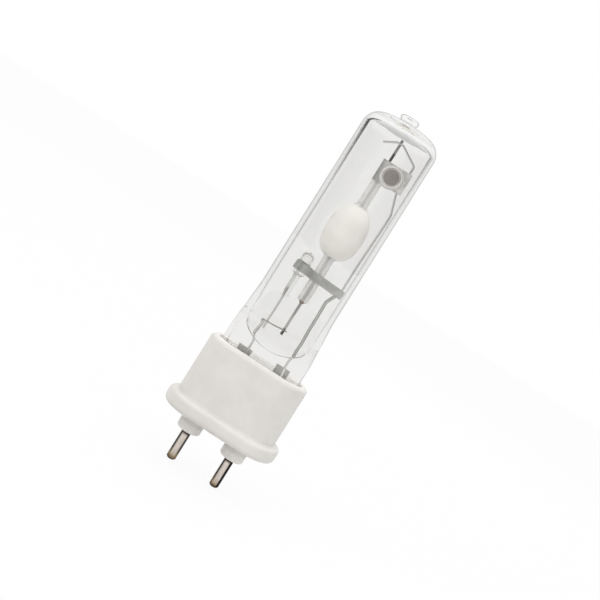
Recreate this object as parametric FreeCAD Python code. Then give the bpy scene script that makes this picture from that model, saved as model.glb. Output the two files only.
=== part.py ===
import FreeCAD, Part
import math
import os

# Frame: origin on the lamp axis at the underside of the flange, +Z to the glass tip, millimetres
V = FreeCAD.Vector
TOUCH = 0.001

# Ceramic base
FLANGE_WIDTH = 29.7
FLANGE_DEPTH = 17.6
FLANGE_END_FLAT = 0.6
FLANGE_HEIGHT = 3.85
FLANGE_EDGE = 1.15
FLANGE_FOOT_EDGE = 1.4
BODY_WIDTH = 26.1
BODY_DEPTH = 14.4
BODY_END_FLAT = 0.8
BODY_ROOT = 0.4
BODY_TOP = 19.1
BODY_EDGE = 1.1
POCKET_WALL = 2.4
POCKET_END_WALL = 1.85
POCKET_END_FLAT = 0.4
POCKET_FLOOR = 5.2
RIM_EDGE = 0.35
CEMENT_TOP = 18.4
COLLAR_DIA = 6.0
COLLAR_DROP = 4.0
COLLAR_EDGE = 0.7
COLLAR_SINK = 0.5

# Contact pins
PIN_SPACING = 12.0
PIN_DIA = 2.35
PIN_DROP = 11.6
PIN_EDGE = 0.35
PIN_HEAD_DIA = 3.8
PIN_HEAD_HEIGHT = 0.9
PIN_BORE_DEPTH = 8.6
SHANK_DIA = 2.9
SHANK_SHOWS = 0.15

# Outer bulb
TUBE_DIA = 19.55
TUBE_WALL = 1.25
TUBE_START = 35.0
CROWN_TOP = 84.05
CROWN_RADIUS = 30.0
DOME_CORNER = 4.1
DOME_WALL = 2.7
DOME_INNER_CORNER = 2.7
NIB_DIA = 4.85
NIB_NECK = 0.25
NIB_X = -0.3
NIB_TOP = 85.6
NIB_EDGE = 0.8
PINCH_BOTTOM = 8.2
PINCH_TOP = 24.2
PINCH_EDGE = 0.6
SHOULDER_START = 22.8
SHOULDER_TAPER = 1.3
PINCH_WIDTH = 21.0
PINCH_THICK = 4.6
BEAD_WIDTH = 1.5
BEAD_THICK = 5.8
BEAD_TOP = 24.4
BEAD_CORNER = 0.7
CAVITY_BOTTOM = 22.0
CAVITY_RISE = 6.0
CAVITY_FLARE = 0.3
CAVITY_FOOT_DEPTH = 1.2

# Foils and leads in the pinch
FOIL_WIDTH = 3.6
FOIL_THICK = 0.12
FOIL_BOTTOM = 11.0
FOIL_LEFT_X = -4.6
FOIL_LEFT_TOP = 20.0
FOIL_RIGHT_X = 5.4
FOIL_RIGHT_TOP = 20.65
INNER_LEAD_DIA = 0.5
INNER_LEAD_LAP = 2.6
INNER_LEAD_LIFT = 0.6
INNER_LEAD_KINK = 2.2
LEFT_LEAD_X = -3.95
LEFT_LEAD_FOOT_X = -3.75
LEFT_JOIN_STEP = 1.15
RIGHT_LEAD_X = 5.6
RIGHT_LEAD_FOOT_X = 6.0
RIGHT_JOIN_IN = 2.525
OUTER_LEAD_DIA = 0.7
OUTER_LEAD_LAP = 2.2
OUTER_LEAD_STEP = 0.5
LEAD_BEND = 0.8
WELD_SINK = 0.04

# Arc tube
BURNER_X = 0.75
BELLY_Z = 55.0
BELLY_DIA = 9.8
BELLY_DOWN = 7.1
BELLY_UP = 7.2
BELLY_FULLNESS_DOWN = 2.6
BELLY_FULLNESS_UP = 2.1
BURNER_WALL = 0.8
ARC_ROOM_STEP = 1.55
ARC_ROOM_END = 0.9
ARC_ROOM_STRAIGHT = 2.65
CAPILLARY_DIA = 2.75
CAPILLARY_BORE = 0.95
CAPILLARY_LOW = 35.95
CAPILLARY_HIGH = 73.8
CAPILLARY_CHAMFER = 0.12
CAPILLARY_ROOT = 0.9
NIOBIUM_DIA = 0.68
NIOBIUM_LOW = 26.95
NIOBIUM_HIGH = 80.15
NIOBIUM_IN = 3.4
FRIT_IN = 4.4
FRIT_BEAD = 0.65
FRIT_BEAD_DIA = 1.9
ELECTRODE_DIA = 0.4
ARC_GAP = 7.0
COIL_DIA = 0.8
COIL_LENGTH = 1.8
COIL_BACK = 0.5

# Frame wires and link
LEAD_JOIN_Z = 24.1
STUB_DIA = 0.68
STUB_TOP = 27.8
STUB_BEND_IN = 0.3
STUB_WAIST_Z = 26.3
LINK_DIA = 0.34
LINK_Z = 27.65
LINK_RISE = 0.5
LINK_LEFT_X = -4.95
LINK_RIGHT_X = 1.65
LOWER_FRAME_DIA = 0.75
LOWER_HIP_Z = 41.0
LOWER_KNEE_Z = 38.7
LOWER_KNEE_IN = 0.4
LOWER_SHIN_IN = 0.25
LOWER_SHIN_Z = 33.5
UPPER_FRAME_DIA = 0.46
FRAME_GAP = 0.9
FRAME_FOOT_IN = 0.33
FRAME_NARROW_IN = 1.5
FRAME_TURN_IN = 1.3
FRAME_LOW_Z = 50.0
FRAME_WIDE_Z = 61.0
FRAME_BEND_Z = 63.6
FRAME_NARROW_Z = 68.4
FRAME_TURN_Z = 76.1
FRAME_CROSS_Z = 79.1
FRAME_CROSS_X = 1.6
FRAME_TIP_X = -3.0
FRAME_TIP_Z = 77.5
WIRE_BEND = 0.9

# Strap and getter
STRAP_THICK = 0.2
STRAP_HEIGHT = 2.1
STRAP_GAP = 0.5
STRAP_LEFT_X = -5.52
STRAP_Z = 42.45
STRAP_LEAN = 3.5
STRAP_TAIL_X = -1.4
LOWER_FRAME_IN = 1.38
GETTER_WIDTH = 7.6
GETTER_HEIGHT = 5.5
GETTER_THICK = 0.15
GETTER_IN = 1.45
GETTER_Z = 71.45
CUP_SHIFT = -0.05
CUP_Z = 71.2
CUP_DIA = 5.8
CUP_CREST_DIA = 4.9
CUP_HEIGHT = 0.85
CUP_LIP = 0.2
CUP_FLOOR = 0.12
PELLET_DIA = 3.9
PELLET_THICK = 0.25

# Enhancer capsule
CAPSULE_X = -3.5
CAPSULE_DIA = 3.15
CAPSULE_WALL = 0.4
CAPSULE_TOP = 46.65
CAPSULE_TIP = 0.2
CAPSULE_TIP_DIA = 0.9
CAPSULE_SHOULDER = 40.7
CAPSULE_FOOT_EDGE = 0.5
CAPSULE_ROOM_IN = 0.9
STEM_DIA = 1.8
STEM_BOTTOM = 34.75
STEM_SINK = 0.6
CAPSULE_FOIL_X = -3.8
CAPSULE_FOIL_WIDTH = 0.6
CAPSULE_FOIL_THICK = 0.1
CAPSULE_FOIL_BOTTOM = 35.9
CAPSULE_FOIL_RISE = 1.6
CAPSULE_LEAD_DIA = 0.5
CAPSULE_LEAD_LAP = 1.2
CAPSULE_LEAD_LOW = 26.0
CAPSULE_LEAD_X = -3.7
CAPSULE_LEAD_STEP = 3.6

# Sizes that follow from the base's depth
FLANGE_CORNER = FLANGE_DEPTH / 2 - FLANGE_END_FLAT
BODY_CORNER = BODY_DEPTH / 2 - BODY_END_FLAT
POCKET_WIDTH = BODY_WIDTH - 2 * POCKET_END_WALL
POCKET_DEPTH = BODY_DEPTH - 2 * POCKET_WALL
POCKET_CORNER = POCKET_DEPTH / 2 - POCKET_END_FLAT

# Places that follow from the bulb's inside and the capsule's lead
CAVITY_RADIUS = TUBE_DIA / 2 - TUBE_WALL
LEFT_JOIN_X = CAPSULE_LEAD_X - LEFT_JOIN_STEP
RIGHT_JOIN_X = CAVITY_RADIUS - RIGHT_JOIN_IN
STUB_X = LEFT_JOIN_X + STUB_BEND_IN
LOWER_KNEE_X = RIGHT_JOIN_X - LOWER_KNEE_IN
LOWER_SHIN_X = RIGHT_JOIN_X - LOWER_SHIN_IN
FRAME_X = CAVITY_RADIUS - FRAME_GAP
STRAP_RIGHT_X = CAVITY_RADIUS - STRAP_GAP
GETTER_X = CAVITY_RADIUS - GETTER_IN - GETTER_WIDTH / 2


def rounded_plate(width, depth, corner, low, high):
    box = Part.makeBox(width, depth, high - low, V(-width / 2, -depth / 2, low))
    upright = [e for e in box.Edges if abs(e.tangentAt(e.FirstParameter).z) > 0.99]
    return box.makeFillet(corner, upright)


def level_edges(shape, z):
    return [e for e in shape.Edges if abs(e.BoundBox.ZMin - z) < TOUCH and abs(e.BoundBox.ZMax - z) < TOUCH]


def round_level(shape, z, radius):
    return shape.makeFillet(radius, level_edges(shape, z))


def bevel_level(shape, z, size):
    return shape.makeChamfer(size, level_edges(shape, z))


def rod(dia, x, low, high, y=0.0):
    return Part.makeCylinder(dia / 2, high - low, V(x, y, low))


def turned(edges, x, y=0.0):
    face = Part.Face(Part.Wire(Part.__sortEdges__(edges)))
    return face.revolve(V(0, 0, 0), V(0, 0, 1), 360).translated(V(x, y, 0))


def turned_outline(corners, x, y=0.0):
    points = [V(r, 0, z) for r, z in corners]
    edges = [Part.makeLine(a, b) for a, b in zip(points, points[1:] + points[:1])]
    return turned(edges, x, y)


def bent_wire(dia, bends, radius):
    points = [V(*b) for b in bends]
    edges = []
    start = points[0]
    for before, corner, after in zip(points, points[1:], points[2:]):
        back = (before - corner).normalize()
        ahead = (after - corner).normalize()
        half = back.getAngle(ahead) / 2
        reach = radius / math.tan(half)
        reach = min(reach, 0.45 * (before - corner).Length, 0.45 * (after - corner).Length)
        size = reach * math.tan(half)
        middle = corner + (back + ahead).normalize() * (size / math.sin(half) - size)
        edges.append(Part.makeLine(start, corner + back * reach))
        edges.append(Part.Arc(corner + back * reach, middle, corner + ahead * reach).toShape())
        start = corner + ahead * reach
    edges.append(Part.makeLine(start, points[-1]))
    path = Part.Wire(edges)
    circle = Part.Wire(Part.makeCircle(dia / 2, points[0], points[1] - points[0]))
    return path.makePipeShell([circle], True, True)


def section(half_width, half_depth, z):
    outline = Part.Ellipse(V(half_width, 0, z), V(0, half_depth, z), V(0, 0, z))
    return Part.Wire(outline.toShape())


def dome_profile(radius, crown_radius, crown_top, corner, low):
    # Tube wall, corner arc and crown arc that are tangent to each other
    crown_z = crown_top - crown_radius
    corner_r = radius - corner
    corner_z = crown_z + math.sqrt((crown_radius - corner) ** 2 - corner_r ** 2)
    lean = math.atan2(corner_r, corner_z - crown_z)
    meet = V(crown_radius * math.sin(lean), 0, crown_z + crown_radius * math.cos(lean))
    crown_mid = V(crown_radius * math.sin(lean / 2), 0, crown_z + crown_radius * math.cos(lean / 2))
    turn = (math.pi / 2 + lean) / 2
    corner_mid = V(corner_r + corner * math.sin(turn), 0, corner_z + corner * math.cos(turn))
    edges = [Part.makeLine(V(0, 0, crown_top), V(0, 0, low))]
    edges.append(Part.makeLine(V(0, 0, low), V(radius, 0, low)))
    edges.append(Part.makeLine(V(radius, 0, low), V(radius, 0, corner_z)))
    edges.append(Part.Arc(V(radius, 0, corner_z), corner_mid, meet).toShape())
    edges.append(Part.Arc(meet, crown_mid, V(0, 0, crown_top)).toShape())
    return edges


def shoulder(low, low_width, low_depth, radius, power):
    # Round tube that is pressed flat toward its foot: ellipses whose depth swells in an S from foot to tube
    sections = []
    for t in (0.0, 0.14, 0.3, 0.48, 0.66, 0.84, 1.0):
        swell = t * t * (3 - 2 * t)
        width = radius + (low_width - radius) * (1 - t ** power)
        depth = low_depth + (radius - low_depth) * swell
        sections.append(section(width, min(width, depth), low + t * (TUBE_START - low)))
    return Part.makeLoft(sections, True, False)


def bulb_outside():
    radius = TUBE_DIA / 2
    half = PINCH_WIDTH / 2
    tube = turned(dome_profile(radius, CROWN_RADIUS, CROWN_TOP, DOME_CORNER, TUBE_START), 0)
    pinch = rounded_plate(PINCH_WIDTH, PINCH_THICK, PINCH_EDGE, PINCH_BOTTOM, PINCH_TOP)
    pressed = shoulder(SHOULDER_START, half, PINCH_THICK / 2, radius, SHOULDER_TAPER)
    shape = tube.fuse([pressed, pinch, nib()])
    for side in (-1, 1):
        bead = rounded_plate(BEAD_WIDTH, BEAD_THICK, BEAD_CORNER, PINCH_BOTTOM, BEAD_TOP)
        bead = round_level(bead, BEAD_TOP, PINCH_EDGE)
        shape = shape.fuse(bead.translated(V(side * (half - BEAD_WIDTH / 2), 0, 0)))
    return shape


def nib():
    radius = NIB_DIA / 2
    rise = NIB_TOP - CROWN_TOP
    root_z = CROWN_TOP - NIB_NECK - rise / 4
    neck_z = CROWN_TOP + rise / 8
    swell_z = CROWN_TOP + rise / 2.4
    body = turned_outline([(0, root_z), (radius, root_z), (radius - NIB_NECK, neck_z),
                           (radius, swell_z), (radius, NIB_TOP), (0, NIB_TOP)], NIB_X)
    return round_level(body, NIB_TOP, NIB_EDGE)


def bulb_cavity():
    # The foot of the room is as flat as the pinch and its floor, seen from the front, is a U
    radius = CAVITY_RADIUS
    top = CROWN_TOP - DOME_WALL
    tube = turned(dome_profile(radius, CROWN_RADIUS, top, DOME_INNER_CORNER, TUBE_START), 0)
    foot = shoulder(CAVITY_BOTTOM, radius, CAVITY_FOOT_DEPTH / 2, radius, 1)
    turn_z = CAVITY_BOTTOM + CAVITY_RISE
    front = -TUBE_DIA
    side = V(radius + CAVITY_FLARE, front, turn_z)
    bend = Part.Ellipse(side, V(0, front, CAVITY_BOTTOM), V(0, front, turn_z))
    u_prism = Part.Face(Part.Wire(bend.toShape())).extrude(V(0, 2 * TUBE_DIA, 0))
    above = Part.makeBox(2 * TUBE_DIA, 2 * TUBE_DIA, TUBE_START, V(front, front, turn_z))
    return tube.fuse(foot.common(u_prism.fuse(above)))


def foil(x, top):
    corner = V(x - FOIL_WIDTH / 2, -FOIL_THICK / 2, FOIL_BOTTOM)
    return Part.makeBox(FOIL_WIDTH, FOIL_THICK, top - FOIL_BOTTOM, corner)


def on_foil(dia):
    return -(FOIL_THICK / 2 + dia / 2 - WELD_SINK)


def outer_lead(foil_x, pin_x):
    y = on_foil(OUTER_LEAD_DIA)
    return bent_wire(OUTER_LEAD_DIA, [
        (foil_x, y, FOIL_BOTTOM + OUTER_LEAD_LAP),
        (foil_x, y, PINCH_BOTTOM - OUTER_LEAD_STEP),
        (pin_x, 0, POCKET_FLOOR + PIN_HEAD_HEIGHT + OUTER_LEAD_STEP),
        (pin_x, 0, POCKET_FLOOR + PIN_HEAD_HEIGHT - PIN_BORE_DEPTH)], LEAD_BEND)


def contact_pin(x):
    top = POCKET_FLOOR + PIN_HEAD_HEIGHT
    pin = bevel_level(rod(PIN_DIA, x, -PIN_DROP, top), -PIN_DROP, PIN_EDGE)
    shank = rod(SHANK_DIA, x, -COLLAR_DROP - SHANK_SHOWS, top)
    return pin.fuse([shank, rod(PIN_HEAD_DIA, x, POCKET_FLOOR, top)]).removeSplitter()


def inside_edges(shape, z, width, depth):
    # Level edges that lie within a width by depth rectangle, its border included
    found = []
    for edge in level_edges(shape, z):
        box = edge.BoundBox
        if max(box.XMax, -box.XMin) < width / 2 + TOUCH and max(box.YMax, -box.YMin) < depth / 2 + TOUCH:
            found.append(edge)
    return found


def base_shell():
    flange = rounded_plate(FLANGE_WIDTH, FLANGE_DEPTH, FLANGE_CORNER, 0, FLANGE_HEIGHT)
    flange = round_level(round_level(flange, 0, FLANGE_FOOT_EDGE), FLANGE_HEIGHT, FLANGE_EDGE)
    body = rounded_plate(BODY_WIDTH, BODY_DEPTH, BODY_CORNER, FLANGE_HEIGHT / 2, BODY_TOP)
    shell = flange.fuse(round_level(body, BODY_TOP, BODY_EDGE))
    shell = shell.makeFillet(BODY_ROOT, inside_edges(shell, FLANGE_HEIGHT, BODY_WIDTH, BODY_DEPTH))
    above = BODY_TOP + BODY_EDGE
    shell = shell.cut(rounded_plate(POCKET_WIDTH, POCKET_DEPTH, POCKET_CORNER, POCKET_FLOOR, above))
    shell = shell.makeFillet(RIM_EDGE, inside_edges(shell, BODY_TOP, POCKET_WIDTH, POCKET_DEPTH))
    for side in (-1, 1):
        x = side * PIN_SPACING / 2
        collar = round_level(rod(COLLAR_DIA, x, -COLLAR_DROP, COLLAR_SINK), -COLLAR_DROP, COLLAR_EDGE)
        hole = rod(SHANK_DIA, x, -COLLAR_DROP - COLLAR_EDGE, POCKET_FLOOR + PIN_HEAD_HEIGHT)
        shell = shell.fuse(collar).cut(hole)
    return shell.removeSplitter()


def egg_side(belly_dia, height, neck_dia, fullness):
    # A quarter of a full oval, |x|^p + |z|^p = 1, from its widest place to the neck
    reach = math.acos((neck_dia / belly_dia) ** (fullness / 2))
    points = []
    for step in range(7):
        angle = reach * step / 6
        side = belly_dia / 2 * math.cos(angle) ** (2 / fullness)
        points.append(V(side, 0, BELLY_Z + height * math.sin(angle) ** (2 / fullness)))
    return points


def egg(belly_dia, down, up, neck_dia):
    below = egg_side(belly_dia, -down, neck_dia, BELLY_FULLNESS_DOWN)
    above = egg_side(belly_dia, up, neck_dia, BELLY_FULLNESS_UP)
    points = below[:0:-1] + above
    outline = Part.BSplineCurve()
    outline.interpolate(points)
    foot, top = points[0], points[-1]
    corners = [top, V(0, 0, top.z), V(0, 0, foot.z), foot]
    lines = [Part.makeLine(a, b) for a, b in zip(corners, corners[1:])]
    return turned([outline.toShape()] + lines, 0)


def arc_room():
    # The room inside the arc tube, in straight cones
    half_bore = CAPILLARY_BORE / 2
    room = BELLY_DIA / 2 - BURNER_WALL
    down = BURNER_WALL - BELLY_DOWN
    up = BELLY_UP - BURNER_WALL
    narrow = room - ARC_ROOM_STEP
    below = [(0, down), (half_bore, down), (narrow, down + ARC_ROOM_END), (room, -ARC_ROOM_STRAIGHT)]
    above = [(room, ARC_ROOM_STRAIGHT), (narrow, up - ARC_ROOM_END), (half_bore, up), (0, up)]
    return turned_outline([(r, BELLY_Z + z) for r, z in below + above], 0)


def arc_tube():
    outside = egg(BELLY_DIA, BELLY_DOWN, BELLY_UP, CAPILLARY_DIA)
    stem = rod(CAPILLARY_DIA, 0, CAPILLARY_LOW, CAPILLARY_HIGH)
    for z in (CAPILLARY_LOW, CAPILLARY_HIGH):
        stem = bevel_level(stem, z, CAPILLARY_CHAMFER)
    outside = outside.fuse(stem).removeSplitter()
    inward = 2 * CAPILLARY_CHAMFER
    roots = [e for e in outside.Edges if abs(e.BoundBox.XLength - CAPILLARY_DIA) < TOUCH
             and CAPILLARY_LOW + inward < e.BoundBox.ZMin < CAPILLARY_HIGH - inward and e.Closed]
    outside = outside.makeFillet(CAPILLARY_ROOT, roots)
    bore = rod(CAPILLARY_BORE, 0, CAPILLARY_LOW - inward, CAPILLARY_HIGH + inward)
    return outside.cut(arc_room().fuse(bore)).translated(V(BURNER_X, 0, 0))


def frit_seal(end, inward):
    # Glass that fills the bore round the niobium lead and stands as a small bead at the capillary's end
    deep = end + inward * FRIT_IN
    fill = rod(CAPILLARY_BORE, BURNER_X, min(end, deep), max(end, deep))
    tip = NIOBIUM_DIA / 2 + WELD_SINK
    bead = Part.makeCone(FRIT_BEAD_DIA / 2, tip, FRIT_BEAD, V(BURNER_X, 0, end), V(0, 0, -inward))
    return fill.fuse(bead)


def electrode(end, inward, tip):
    base = end + inward * NIOBIUM_IN
    return rod(ELECTRODE_DIA, BURNER_X, min(base, tip), max(base, tip))


def electrode_coil(tip, inward):
    near = tip - inward * COIL_BACK
    far = near - inward * COIL_LENGTH
    return rod(COIL_DIA, BURNER_X, min(near, far), max(near, far))


def strap():
    # Flat band: straight in front, then a U round the capsule and a short tail behind it
    face = CAPSULE_DIA / 2
    outer = face + STRAP_THICK
    turn_x = STRAP_LEFT_X + outer
    low = STRAP_Z - STRAP_HEIGHT / 2
    front = Part.makeBox(STRAP_RIGHT_X - turn_x, STRAP_THICK, STRAP_HEIGHT, V(turn_x, -outer, low))
    tail = Part.makeBox(STRAP_TAIL_X - turn_x, STRAP_THICK, STRAP_HEIGHT, V(turn_x, face, low))
    ring = Part.makeCylinder(outer, STRAP_HEIGHT, V(turn_x, 0, low), V(0, 0, 1))
    ring = ring.cut(Part.makeCylinder(face, STRAP_HEIGHT, V(turn_x, 0, low), V(0, 0, 1)))
    half = ring.common(Part.makeBox(2 * outer, 2 * outer, STRAP_HEIGHT, V(turn_x - 2 * outer, -outer, low)))
    band = front.fuse([half, tail]).removeSplitter()
    band.rotate(V(0, 0, STRAP_Z), V(0, 1, 0), STRAP_LEAN)
    return band


def behind_strap(dia):
    return -(CAPSULE_DIA / 2 - dia / 2 + WELD_SINK)


def crossing(dia, other_dia):
    return -(dia / 2 + other_dia / 2 - WELD_SINK)


def strap_level(x):
    return STRAP_Z - x * math.tan(math.radians(STRAP_LEAN))


def upper_frame_wire():
    back = behind_strap(UPPER_FRAME_DIA)
    cross = crossing(UPPER_FRAME_DIA, NIOBIUM_DIA)
    foot_x = FRAME_X - FRAME_FOOT_IN
    return bent_wire(UPPER_FRAME_DIA, [
        (foot_x, back, strap_level(foot_x) - STRAP_HEIGHT / 4), (foot_x, back, FRAME_LOW_Z),
        (FRAME_X, back, FRAME_WIDE_Z), (FRAME_X, back, FRAME_BEND_Z),
        (FRAME_X - FRAME_NARROW_IN, back, FRAME_NARROW_Z), (FRAME_X - FRAME_TURN_IN, back, FRAME_TURN_Z),
        (FRAME_CROSS_X, cross, FRAME_CROSS_Z), (BURNER_X - NIOBIUM_DIA, cross, FRAME_CROSS_Z),
        (FRAME_TIP_X, cross, FRAME_TIP_Z)], WIRE_BEND)


def lower_frame_wire():
    back = behind_strap(LOWER_FRAME_DIA)
    low = on_foil(INNER_LEAD_DIA)
    top_x = STRAP_RIGHT_X - LOWER_FRAME_IN
    return bent_wire(LOWER_FRAME_DIA, [
        (top_x, back, strap_level(top_x) + STRAP_HEIGHT / 4), (top_x, back, LOWER_HIP_Z),
        (LOWER_KNEE_X, (back + low) / 2, LOWER_KNEE_Z), (LOWER_SHIN_X, low, LOWER_SHIN_Z),
        (RIGHT_JOIN_X, low, LEAD_JOIN_Z)], WIRE_BEND)


def inner_lead(join_x, lead_x, foot_x, foil_top):
    y = on_foil(INNER_LEAD_DIA)
    return bent_wire(INNER_LEAD_DIA, [
        (join_x, y, LEAD_JOIN_Z), (lead_x, y, foil_top + INNER_LEAD_KINK),
        (lead_x, y, foil_top + INNER_LEAD_LIFT), (foot_x, y, foil_top - INNER_LEAD_LAP)], LEAD_BEND)


def stub_wire():
    y = on_foil(INNER_LEAD_DIA)
    bends = [(STUB_X, y, STUB_TOP), (STUB_X, y, STUB_WAIST_Z), (LEFT_JOIN_X, y, LEAD_JOIN_Z)]
    return bent_wire(STUB_DIA, bends, 2 * STUB_DIA)


def link_front():
    return on_foil(INNER_LEAD_DIA) + crossing(STUB_DIA, LINK_DIA)


def link_wire():
    # In front of the stub and the capsule's lead, then back to the arc tube's lead
    y = crossing(LINK_DIA, NIOBIUM_DIA)
    outer = link_front()
    return bent_wire(LINK_DIA, [
        (LINK_LEFT_X, outer, LINK_Z - LINK_DIA), (STUB_X, outer, LINK_Z),
        (CAPSULE_LEAD_X + CAPSULE_LEAD_DIA, outer, LINK_Z + LINK_RISE / 4),
        (CAPSULE_LEAD_X / 2, y, LINK_Z + LINK_RISE / 2), (BURNER_X - NIOBIUM_DIA, y, LINK_Z + LINK_RISE),
        (LINK_RIGHT_X, y, LINK_Z + LINK_RISE)], 2 * LINK_DIA)


def getter_plate():
    y = behind_strap(UPPER_FRAME_DIA) - UPPER_FRAME_DIA / 2 + WELD_SINK - GETTER_THICK
    plate = Part.makeBox(GETTER_WIDTH, GETTER_THICK, GETTER_HEIGHT,
                         V(GETTER_X - GETTER_WIDTH / 2, y, GETTER_Z - GETTER_HEIGHT / 2))
    return plate, y


def facing_front(shape, y):
    # A shape turned about +Z is laid over so that its top looks to the front
    shape.rotate(V(0, 0, 0), V(1, 0, 0), 90)
    return shape.translated(V(GETTER_X + CUP_SHIFT, y, CUP_Z))


def getter_cup(y):
    outer = CUP_DIA / 2
    crest = CUP_CREST_DIA / 2
    inner = PELLET_DIA / 2
    lip = 0.45 * CUP_HEIGHT
    cup = turned_outline([(0, 0), (outer, 0), (outer, lip), (crest + CUP_LIP, CUP_HEIGHT),
                          (crest - CUP_LIP, CUP_HEIGHT), (inner, lip), (inner, CUP_FLOOR),
                          (0, CUP_FLOOR)], 0)
    return facing_front(cup, y)


def getter_pellet(y):
    return facing_front(rod(PELLET_DIA, 0, CUP_FLOOR, CUP_FLOOR + PELLET_THICK), y)


def enhancer_bulb():
    radius = CAPSULE_DIA / 2
    inner = radius - CAPSULE_WALL
    crown = CAPSULE_TOP - CAPSULE_TIP
    body = rod(CAPSULE_DIA, CAPSULE_X, CAPSULE_SHOULDER, crown)
    body = round_level(body, crown, radius * 0.8)
    body = round_level(body, CAPSULE_SHOULDER, CAPSULE_FOOT_EDGE)
    tip = rod(CAPSULE_TIP_DIA, CAPSULE_X, crown - CAPSULE_TIP, CAPSULE_TOP)
    stem = rod(STEM_DIA, CAPSULE_X, STEM_BOTTOM, CAPSULE_SHOULDER + STEM_SINK)
    room_top = crown - CAPSULE_WALL
    room = rod(2 * inner, CAPSULE_X, CAPSULE_SHOULDER + CAPSULE_ROOM_IN, room_top)
    room = bevel_level(room, room_top, inner * 0.5)
    return body.fuse([tip, stem]).cut(room)


def enhancer_foil():
    top = CAPSULE_SHOULDER + CAPSULE_FOIL_RISE
    corner = V(CAPSULE_FOIL_X - CAPSULE_FOIL_WIDTH / 2, -CAPSULE_FOIL_THICK / 2, CAPSULE_FOIL_BOTTOM)
    return Part.makeBox(CAPSULE_FOIL_WIDTH, CAPSULE_FOIL_THICK, top - CAPSULE_FOIL_BOTTOM, corner)


def enhancer_lead():
    y = -(CAPSULE_FOIL_THICK / 2 + CAPSULE_LEAD_DIA / 2 - WELD_SINK)
    low_y = link_front() - crossing(CAPSULE_LEAD_DIA, LINK_DIA)
    x = CAPSULE_LEAD_X
    return bent_wire(CAPSULE_LEAD_DIA, [
        (CAPSULE_FOIL_X, y, CAPSULE_FOIL_BOTTOM + CAPSULE_LEAD_LAP), (x, y, STEM_BOTTOM - CAPSULE_LEAD_DIA),
        (x, low_y, STEM_BOTTOM - CAPSULE_LEAD_STEP), (x, low_y, CAPSULE_LEAD_LOW)], WIRE_BEND)


def build():
    nodes = {}
    nodes["foil_left"] = foil(FOIL_LEFT_X, FOIL_LEFT_TOP)
    nodes["foil_right"] = foil(FOIL_RIGHT_X, FOIL_RIGHT_TOP)
    nodes["inner_lead_left"] = inner_lead(LEFT_JOIN_X, LEFT_LEAD_X, LEFT_LEAD_FOOT_X, FOIL_LEFT_TOP)
    nodes["inner_lead_right"] = inner_lead(RIGHT_JOIN_X, RIGHT_LEAD_X, RIGHT_LEAD_FOOT_X, FOIL_RIGHT_TOP)
    nodes["outer_lead_left"] = outer_lead(FOIL_LEFT_X, -PIN_SPACING / 2)
    nodes["outer_lead_right"] = outer_lead(FOIL_RIGHT_X, PIN_SPACING / 2)
    nodes["stub_wire"] = stub_wire()
    nodes["frame_wire_lower"] = lower_frame_wire()
    nodes["frame_wire_upper"] = upper_frame_wire()
    nodes["link_wire"] = link_wire()
    nodes["enhancer_strap"] = strap()
    nodes["enhancer_bulb"] = enhancer_bulb()
    nodes["enhancer_foil"] = enhancer_foil()
    nodes["enhancer_lead"] = enhancer_lead()
    nodes["getter_plate"], plate_front = getter_plate()
    nodes["getter_cup"] = getter_cup(plate_front)
    nodes["getter_pellet"] = getter_pellet(plate_front)
    middle = BELLY_Z + (BELLY_UP - BELLY_DOWN) / 2
    ends = {"lower": (CAPILLARY_LOW, 1, NIOBIUM_LOW), "upper": (CAPILLARY_HIGH, -1, NIOBIUM_HIGH)}
    for name, (end, inward, free_end) in ends.items():
        tip = middle - inward * ARC_GAP / 2
        inner_end = end + inward * NIOBIUM_IN
        lead = rod(NIOBIUM_DIA, BURNER_X, min(free_end, inner_end), max(free_end, inner_end))
        nodes["niobium_lead_" + name] = lead
        nodes["electrode_" + name] = electrode(end, inward, tip)
        nodes["electrode_coil_" + name] = electrode_coil(tip, inward).cut(nodes["electrode_" + name])
        nodes["frit_seal_" + name] = frit_seal(end, inward).cut(lead).cut(nodes["electrode_" + name])
    nodes["arc_tube"] = arc_tube()
    for side, name in ((-1, "left"), (1, "right")):
        pin = contact_pin(side * PIN_SPACING / 2)
        nodes["contact_pin_" + name] = pin.cut(nodes["outer_lead_" + name])
    nodes["base_shell"] = base_shell()
    glass = bulb_outside().cut(bulb_cavity())
    cement = rounded_plate(POCKET_WIDTH, POCKET_DEPTH, POCKET_CORNER, POCKET_FLOOR, CEMENT_TOP)
    cement = cement.cut(glass)
    welds = [("inner_lead_left", "stub_wire"), ("inner_lead_right", "frame_wire_lower"),
             ("inner_lead_left", "foil_left"), ("inner_lead_right", "foil_right"),
             ("outer_lead_left", "foil_left"), ("outer_lead_right", "foil_right"),
             ("link_wire", "stub_wire"), ("link_wire", "niobium_lead_lower"), ("link_wire", "enhancer_lead"),
             ("enhancer_lead", "enhancer_foil"), ("frame_wire_upper", "niobium_lead_upper"),
             ("frame_wire_upper", "enhancer_strap"), ("frame_wire_lower", "enhancer_strap"),
             ("frame_wire_upper", "getter_plate"), ("enhancer_strap", "enhancer_bulb")]
    for first, second in welds:
        nodes[first] = nodes[first].cut(nodes[second])
    for name in ("foil_left", "foil_right", "inner_lead_left", "inner_lead_right", "outer_lead_left",
                 "outer_lead_right"):
        glass = glass.cut(nodes[name])
    for name in ("enhancer_foil", "enhancer_lead"):
        nodes["enhancer_bulb"] = nodes["enhancer_bulb"].cut(nodes[name])
    for name in ("contact_pin_left", "contact_pin_right", "outer_lead_left", "outer_lead_right"):
        cement = cement.cut(nodes[name])
    nodes["outer_bulb"] = glass
    nodes["base_cement"] = cement
    return nodes


os.makedirs("parts", exist_ok=True)
for node_name, node_shape in build().items():
    if len(node_shape.Solids) != 1:
        raise ValueError(node_name + " should be one solid, not " + str(len(node_shape.Solids)))
    node_shape.Solids[0].exportStep("parts/" + node_name + ".step")
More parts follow.
